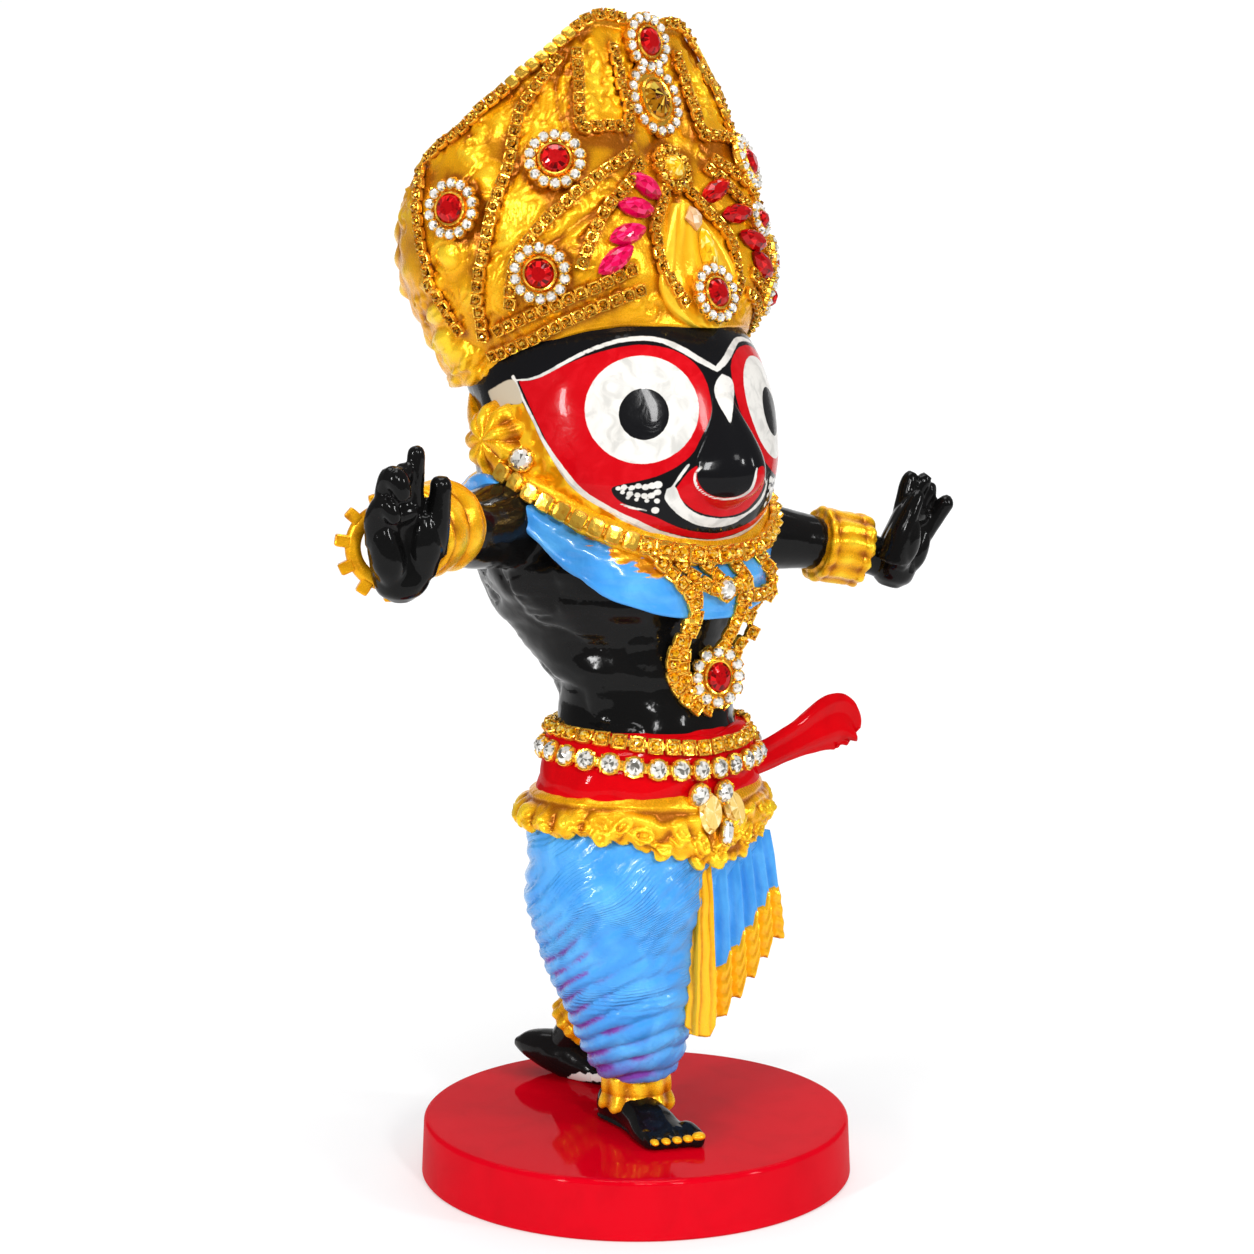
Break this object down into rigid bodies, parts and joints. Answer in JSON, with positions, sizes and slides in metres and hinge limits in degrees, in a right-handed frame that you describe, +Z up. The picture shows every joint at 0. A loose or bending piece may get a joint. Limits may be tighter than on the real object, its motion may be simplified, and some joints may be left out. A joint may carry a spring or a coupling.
{
  "type": "jagannath figure",
  "caption": "Painted cast figure of a striding black deity with a tall gold crown, outstretched arms and glued crystal trims, standing on a round red plinth.",
  "frame": {"origin": "centre of the plinth's underside", "axes": "+Z up, +X towards the figure's left hand, -Y towards its front"},
  "size_m": [0.1654, 0.097, 0.2404],
  "materials": {
    "red_gloss": "gloss red paint on cast resin",
    "figure_paint": "gloss black, with blue, gold, red, white and yellow painted parts",
    "gold_cups": "gold-plated cup chain with small stones",
    "red_stone": "faceted, foil backed",
    "pink_stone": "faceted, foil backed",
    "amber_stone": "faceted, foil backed",
    "yellow_stone": "faceted, foil backed",
    "white_stone": "faceted, foil backed"
  },
  "bodies": {
    "root": {"plinth": "red_gloss", "figure": "figure_paint", "crown_flower_top": "red_stone", "crown_flower_amber": "amber_stone", "crown_flower_yellow": "yellow_stone", "crown_flower_leaf": "red_stone", "crown_flower_upper_right": "red_stone", "crown_flower_rear_right": "red_stone", "crown_flower_lower_right": "red_stone", "crown_flower_upper_left": "red_stone", "crown_flower_rear_left": "red_stone", "crown_flower_lower_left": "red_stone", "crown_flower_small_upper": "red_stone", "crown_flower_small_lower": "red_stone", "crown_pointed_stone_right_1": "pink_stone", "crown_pointed_stone_right_2": "pink_stone", "crown_pointed_stone_right_3": "pink_stone", "crown_pointed_stone_right_4": "pink_stone", "crown_pointed_stone_left_1": "red_stone", "crown_pointed_stone_left_2": "red_stone", "crown_pointed_stone_left_3": "red_stone", "crown_pointed_stone_left_4": "red_stone", "leaf_drop_stone": "yellow_stone", "leaf_diamond_stone": "white_stone", "ridge_chain_right": "gold_cups", "ridge_chain_left": "gold_cups", "rear_chain_right": "gold_cups", "rear_chain_left": "gold_cups", "side_chain_right": "gold_cups", "side_chain_left": "gold_cups", "rim_chain_lower_right": "gold_cups", "rim_chain_lower_left": "gold_cups", "rim_chain_upper_right": "gold_cups", "rim_chain_upper_left": "gold_cups", "outer_arch_chain_right": "gold_cups", "outer_arch_chain_left": "gold_cups", "inner_arch_chain_right": "gold_cups", "inner_arch_chain_left": "gold_cups", "panel_chain_right": "gold_cups", "panel_chain_left": "gold_cups", "leaf_chain_right": "gold_cups", "leaf_chain_left": "gold_cups", "neck_chain": "gold_cups", "ear_stone_right": "white_stone", "ear_stone_left": "white_stone", "pendant_flower": "red_stone", "collar_stone": "white_stone", "pendant_strand_right": "gold_cups", "pendant_strand_left": "gold_cups", "belt_chain": "gold_cups", "belt_stone_row": "white_stone", "belt_drop_right": "white_stone", "belt_leaf_right": "yellow_stone", "belt_drop_left": "white_stone", "belt_leaf_left": "yellow_stone", "belt_diamond": "white_stone"}
  },
  "joints": []
}
